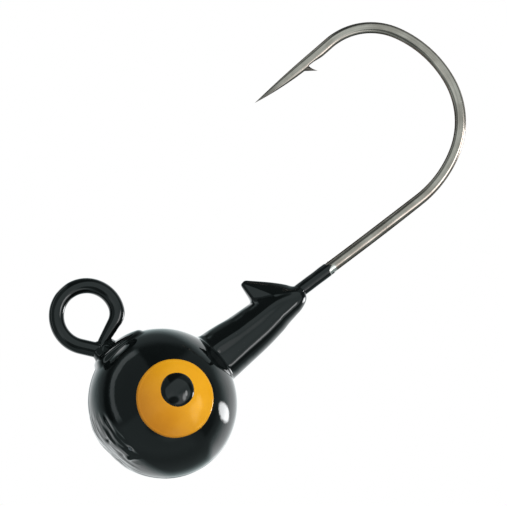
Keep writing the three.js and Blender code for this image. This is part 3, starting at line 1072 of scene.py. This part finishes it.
def studio_world():
    """White all round for the camera. What the object reflects is a tent with a strip lamp, a
    window and a key card, each placed by where it would show on a mirror ball of radius 1 seen
    from the front: along is to the right there, and up is up."""
    world = bpy.data.worlds.new("studio")
    bpy.context.scene.world = world
    world.use_nodes = True
    tree = world.node_tree
    tree.nodes.clear()
    n = Nodes(tree)
    place = n.add("ShaderNodeTexCoord").outputs["Generated"]

    def vector_math(operation, a, b=(0, 0, 0)):
        """One sum on a linked direction and a fixed one."""
        return n.add("ShaderNodeVectorMath", {0: a, 1: tuple(b)}, operation=operation)

    half = vector_math("ADD", place, to_camera).outputs[0]
    half = vector_math("NORMALIZE", half).outputs[0]
    along = vector_math("DOT_PRODUCT", half, side_on).outputs["Value"]
    up = vector_math("DOT_PRODUCT", half, upright_z).outputs["Value"]

    def reach(x, z, long=1.0, wide=1.0, lean=0.0):
        """Distance from a middle, in half lengths along a leaning line and half widths."""
        a, b = n.math("SUBTRACT", along, x), n.math("SUBTRACT", up, z)
        c, s = math.cos(math.radians(lean)), math.sin(math.radians(lean))
        u = n.math("MULTIPLY_ADD", a, c / long, n.math("MULTIPLY", b, s / long))
        v = n.math("MULTIPLY_ADD", a, -s / wide, n.math("MULTIPLY", b, c / wide))
        return n.math("SQRT", n.math("ADD", n.math("MULTIPLY", u, u), n.math("MULTIPLY", v, v)))

    def window(x, z, long, wide, lean, blur):
        """A rounded card: 1 inside and 0 outside, softened over blur of its size."""
        return n.step(reach(x, z, long, wide, lean), 1 + blur, 1 - blur)

    def both(a, b):
        """The product, which for two masks is where both are 1."""
        return n.math("MULTIPLY", a, b)

    def span(value, low, high, blur):
        """1 between low and high, softened over blur at both ends."""
        return both(n.step(value, low - blur, low + blur), n.step(value, high + blur, high - blur))

    radius = reach(0, 0)
    # The tent: dim in front, darker up and to the right, lighter down and to the left
    low_left = both(n.step(up, 0.12, 0.03), n.step(along, 0.15, -0.05))
    low_left = both(low_left, n.step(radius, 0.78, 0.62))
    light = n.math("MULTIPLY_ADD", low_left, 0.13, 0.25)
    dark_corner = both(n.step(along, 0.12, 0.19), n.step(up, 0.3, 0.4))
    dark_corner = both(dark_corner, n.step(radius, 0.86, 0.76))
    light = n.math("MULTIPLY_ADD", dark_corner, -0.18, light)
    right_gap = both(n.step(up, 0.0, -0.15), n.step(radius, 0.77, 0.7))
    right_gap = both(n.step(along, 0.15, 0.25), right_gap)
    light = n.math("MULTIPLY_ADD", right_gap, -0.15, light)
    front = both(window(0.17, -0.05, 0.44, 0.47, 0, 0.06), n.step(up, 0.36, 0.29))
    light = n.math("MULTIPLY_ADD", front, 0.5, light)
    shelf = both(window(0.16, -0.34, 0.38, 0.17, 0, 0.4), 0.45)
    light = n.math("ADD", light, shelf)
    hood = window(-0.12, -0.2, 0.24, 0.15, -10, 0.3)
    light = both(light, n.math("MULTIPLY_ADD", hood, -0.85, 1.0))
    # The strip lamp and the black flag round it
    from_hub = reach(*STRIP_HUB)
    sweep = both(n.step(along, 0.2, 0.1), n.step(up, 0.1, 0.25))
    flag = both(span(from_hub, *FLAG_SPAN, 0.03), sweep)
    light = both(light, n.math("MULTIPLY_ADD", flag, -0.8, 1.0))
    strip = both(span(from_hub, *STRIP_SPAN, 0.012), sweep)
    light = n.math("MULTIPLY_ADD", strip, 0.75, light)
    # White surroundings behind, held back above and below
    above = both(n.step(up, 0.2, 0.9), n.step(along, -0.05, 0.2, -0.07, -0.12))
    under = both(both(n.step(up, -0.3, -0.85), n.step(along, 0.25, 0.0)), -0.1)
    right_low = both(n.step(along, 0.0, 0.25), both(n.step(up, 0.1, -0.2), 0.03))
    left_side = both(n.step(along, -0.45, -0.75), both(n.step(up, 0.5, 0.2), 0.06))
    behind = n.math("ADD", n.math("ADD", radius, above), n.math("ADD", under, right_low))
    behind = n.math("ADD", behind, left_side)
    light = n.math("MULTIPLY_ADD", n.step(behind, 0.8, 0.94), 1.05, light)
    for *card, strength in LAMPS:
        light = n.math("MULTIPLY_ADD", window(*card), strength, light)
    # The dim parts of the tent are a little green and blue, and the lamps are white
    red = both(light, n.step(light, 0.4, 1.6, 0.8, 0.98))
    tint = n.add("ShaderNodeCombineColor", {0: red, 1: light, 2: both(light, 1.01)}).outputs[0]
    seen = n.add("ShaderNodeBackground", {"Color": (1, 1, 1, 1), "Strength": 1.0}).outputs[0]
    lit = n.add("ShaderNodeBackground", {"Color": tint, "Strength": 1.0}).outputs[0]
    camera_ray = n.add("ShaderNodeLightPath").outputs["Is Camera Ray"]
    mixed = n.add("ShaderNodeMixShader", {0: camera_ray, 1: lit, 2: seen}).outputs[0]
    n.add("ShaderNodeOutputWorld", {"Surface": mixed})


LAMP_DISTANCE = 0.5


def soft_light(name, toward, watts, size):
    """A large soft lamp half a metre off, which lights matt surfaces and shows in no gloss."""
    lamp = bpy.data.lights.new(name, "AREA")
    lamp.size = size
    lamp.energy = watts
    holder = bpy.data.objects.new(name, lamp)
    bpy.context.scene.collection.objects.link(holder)
    direction = Vector(toward).normalized()
    holder.location = Vector(BALL * MM) + direction * LAMP_DISTANCE
    holder.rotation_mode = "QUATERNION"
    holder.rotation_quaternion = direction.to_track_quat("Z", "Y")
    holder.visible_camera = False
    holder.visible_glossy = False


soft_light("key", 0.66 * side_on + 0.75 * to_camera, 1.5, 0.25)
studio_world()
bpy.context.scene.view_settings.view_transform = "Standard"
